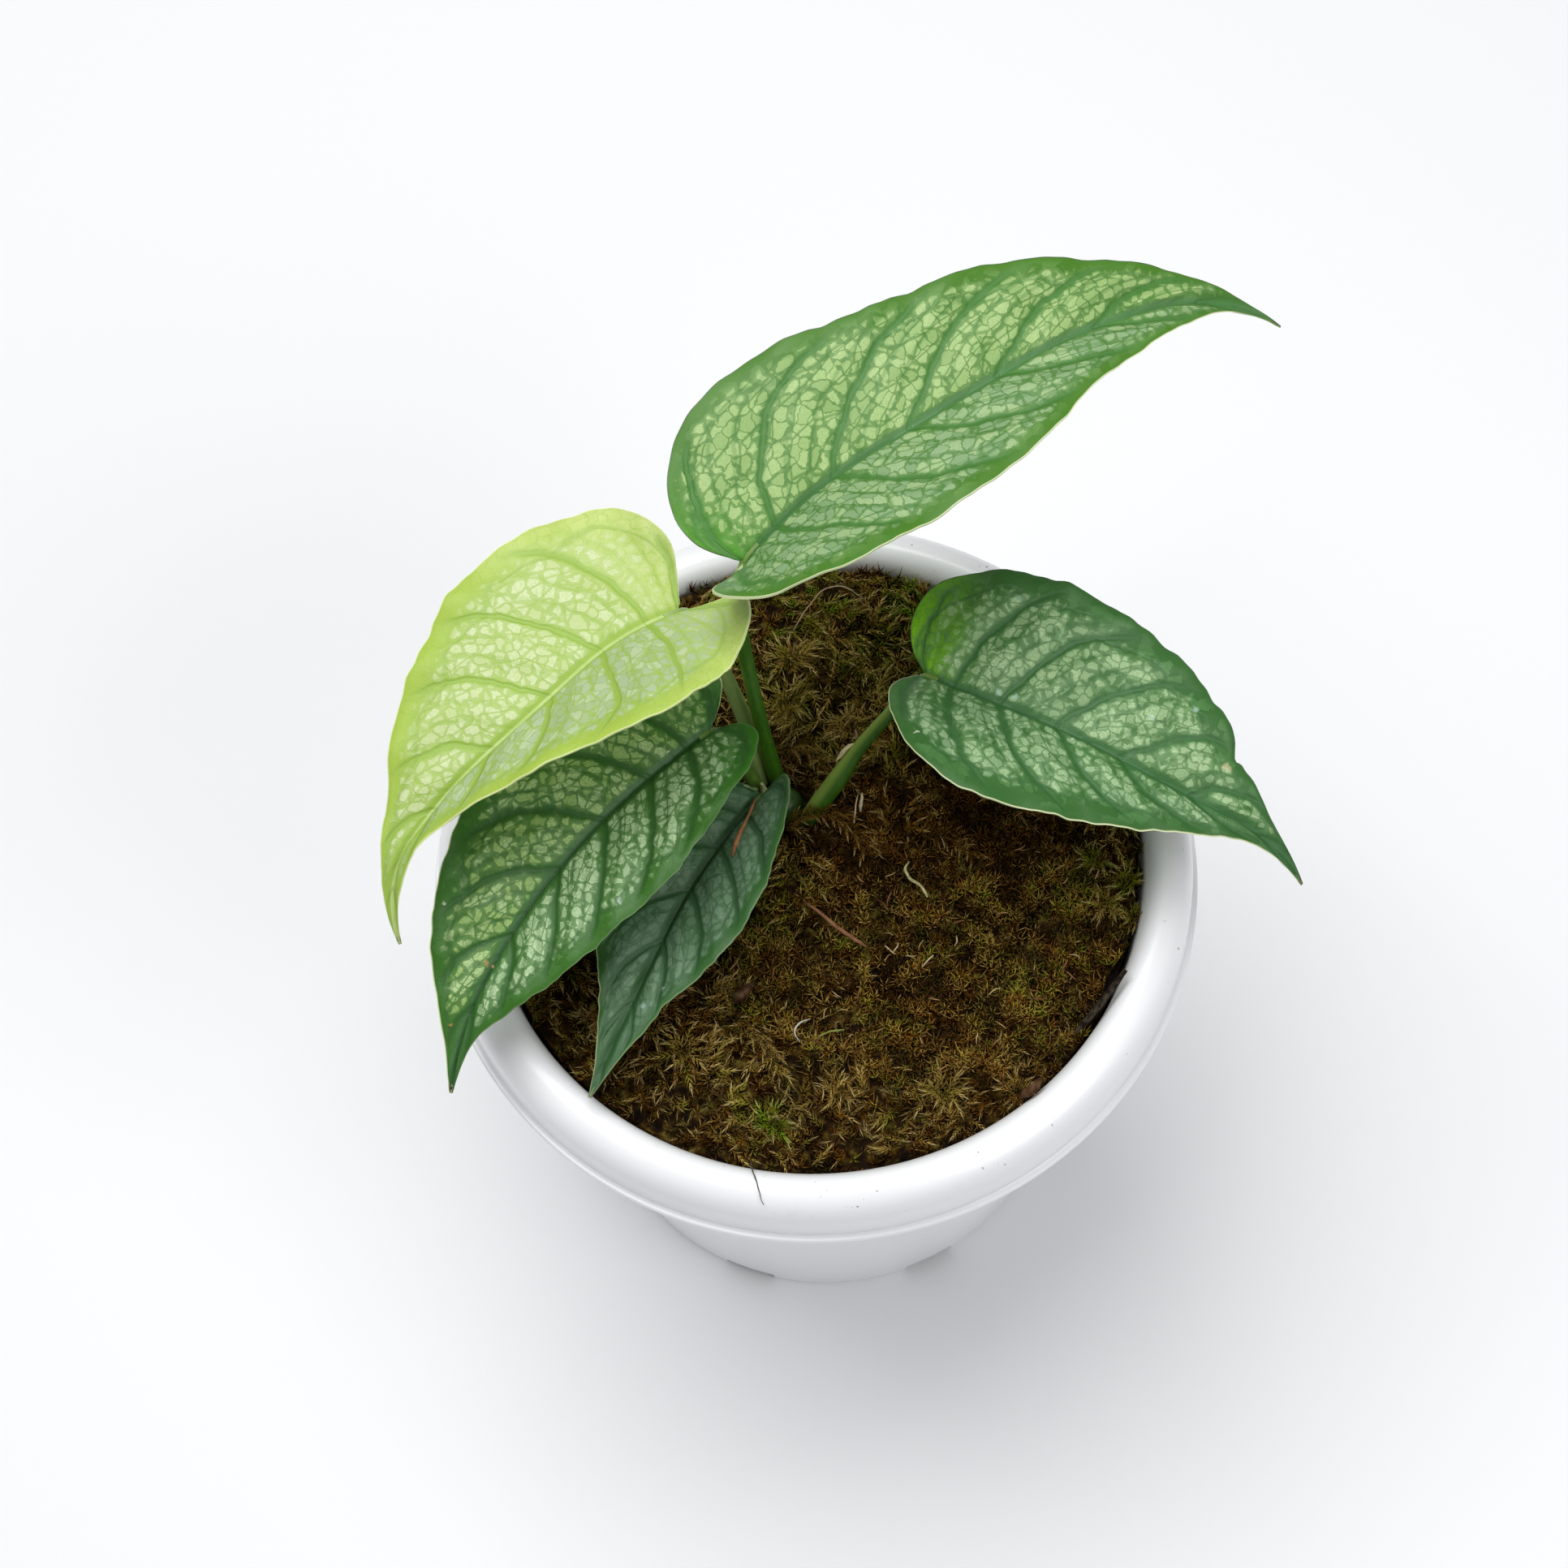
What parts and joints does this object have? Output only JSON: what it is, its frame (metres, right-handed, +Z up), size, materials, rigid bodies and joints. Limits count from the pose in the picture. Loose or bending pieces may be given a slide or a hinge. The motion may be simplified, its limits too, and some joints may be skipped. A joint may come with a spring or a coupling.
{
  "type": "potted monstera siltepecana",
  "caption": "Young silver-leaved climbing aroid with folded heart-shaped leaves, in a round white plastic nursery pot topped with moss.",
  "frame": {"origin": "centre of the pot's underside", "axes": "+Z up along the pot's axis; +X to the right and +Y to the back as the picture looks at the plant"},
  "size_m": [0.1741, 0.1618, 0.204],
  "materials": {
    "pot_plastic": "white moulded plastic, satin gloss, light dirt on the rim",
    "potting_mix": "dark moist potting mix",
    "moss": "brown and olive dried moss with green tips",
    "root": "pale tan roots",
    "stem_green": "smooth living stem, satin",
    "stem_lime": "smooth young petiole, satin",
    "shoot_pale": "pale rolled shoot",
    "leaf_mid_green": "mid-green leaf with silver-green fields and a net of darker veins, satin",
    "leaf_lime": "yellow-green young leaf with pale fields and a net of veins, satin",
    "leaf_green": "deep green leaf with grey-green fields and a net of dark veins, satin",
    "leaf_dark": "dark green leaf with silver-grey fields and a net of dark veins, satin"
  },
  "bodies": {
    "root": {"pot": "pot_plastic", "potting_mix": "potting_mix", "moss_bed": "moss", "roots": "root", "stem": "stem_green", "new_shoot": "shoot_pale", "leaf_back_petiole": "stem_green", "leaf_back_blade": "leaf_mid_green", "leaf_young_petiole": "stem_lime", "leaf_young_blade": "leaf_lime", "leaf_middle_petiole": "stem_green", "leaf_middle_blade": "leaf_green", "leaf_low_petiole": "stem_green", "leaf_low_blade": "leaf_dark", "leaf_right_petiole": "stem_green", "leaf_right_blade": "leaf_dark"}
  },
  "joints": []
}
